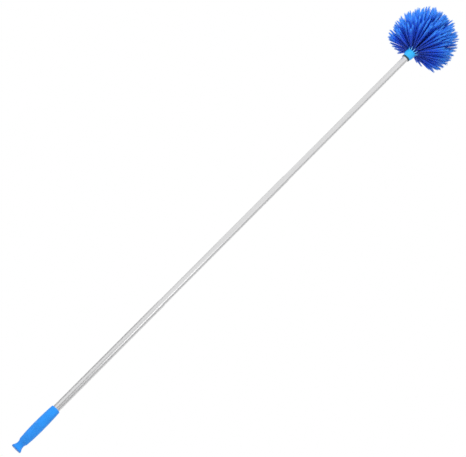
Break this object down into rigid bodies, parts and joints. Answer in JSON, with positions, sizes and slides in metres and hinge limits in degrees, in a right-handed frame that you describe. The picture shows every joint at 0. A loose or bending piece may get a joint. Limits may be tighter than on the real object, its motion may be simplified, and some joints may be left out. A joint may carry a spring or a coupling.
{
  "type": "telescopic duster",
  "caption": "Telescopic duster: round blue bristle head on a three-part steel pole with inner twist locks and a moulded grip.",
  "frame": {"origin": "centre of the grip's flat end face", "axes": "+Z along the pole from the grip to the brush head; -Y is the side the picture looks at"},
  "size_m": [0.1946, 0.2005, 1.7769],
  "materials": {
    "grip_blue": "satin moulded plastic",
    "steel_bright": "bright plated steel",
    "tip_grey": "moulded plastic",
    "rubber_teal": "soft ring",
    "socket_blue": "moulded plastic",
    "lock_black": "moulded plastic",
    "lock_white": "moulded plastic",
    "screw_steel": "plain steel",
    "bristle_blue": "shiny fine filament"
  },
  "bodies": {
    "handle": {"grip": "grip_blue", "outer_tube": "steel_bright"},
    "lower_sleeve": {"lower_lock_sleeve": "lock_white"},
    "lower_cone": {"lower_lock_cone": "lock_black"},
    "middle_section": {"middle_tube": "steel_bright", "lower_lock_plug": "lock_black", "lower_lock_screw": "screw_steel", "lower_lock_washer": "screw_steel"},
    "upper_sleeve": {"upper_lock_sleeve": "lock_white"},
    "upper_cone": {"upper_lock_cone": "lock_black"},
    "inner_section": {"inner_tube": "steel_bright", "threaded_tip": "tip_grey", "upper_lock_plug": "lock_black", "upper_lock_screw": "screw_steel", "upper_lock_washer": "screw_steel"},
    "ring": {"socket_ring": "rubber_teal"},
    "head": {"head_socket": "socket_blue", "bristle_ring_1": "bristle_blue", "bristle_ring_2": "bristle_blue", "bristle_ring_3": "bristle_blue", "bristle_ring_4": "bristle_blue", "bristle_ring_5": "bristle_blue", "bristle_ring_6": "bristle_blue", "bristle_crown": "bristle_blue"}
  },
  "joints": [
    {"name": "lower_slide", "type": "slide", "parent": "handle", "child": "lower_sleeve", "axis": [0, 0, 1], "range_m": [-0.435, 0]},
    {"name": "lower_twist", "type": "hinge", "parent": "lower_sleeve", "child": "middle_section", "pos_m": [0, 0, 0.48], "axis": [0, 0, 1], "range_deg": [0, 541]},
    {"name": "lower_cone_travel", "type": "slide", "parent": "lower_sleeve", "child": "lower_cone", "axis": [0, 0, 1], "range_m": [-0.00187, 0]},
    {"name": "upper_slide", "type": "slide", "parent": "middle_section", "child": "upper_sleeve", "axis": [0, 0, 1], "range_m": [-0.45, 0]},
    {"name": "upper_twist", "type": "hinge", "parent": "upper_sleeve", "child": "inner_section", "pos_m": [0, 0, 0.99], "axis": [0, 0, 1], "range_deg": [0, 541]},
    {"name": "upper_cone_travel", "type": "slide", "parent": "upper_sleeve", "child": "upper_cone", "axis": [0, 0, 1], "range_m": [-0.00187, 0]},
    {"name": "head_lift", "type": "slide", "parent": "inner_section", "child": "ring", "axis": [0, 0, 1], "range_m": [0, 0.018]},
    {"name": "head_unscrew", "type": "hinge", "parent": "ring", "child": "head", "pos_m": [0, 0, 1.61], "axis": [0, 0, 1], "range_deg": [0, 1621]}
  ],
  "couplings": [
    {"joint": "lower_twist", "follows": "lower_cone_travel", "rad_per_m": -5026.5},
    {"joint": "upper_twist", "follows": "upper_cone_travel", "rad_per_m": -5026.5},
    {"joint": "head_unscrew", "follows": "head_lift", "rad_per_m": 1570.8}
  ]
}
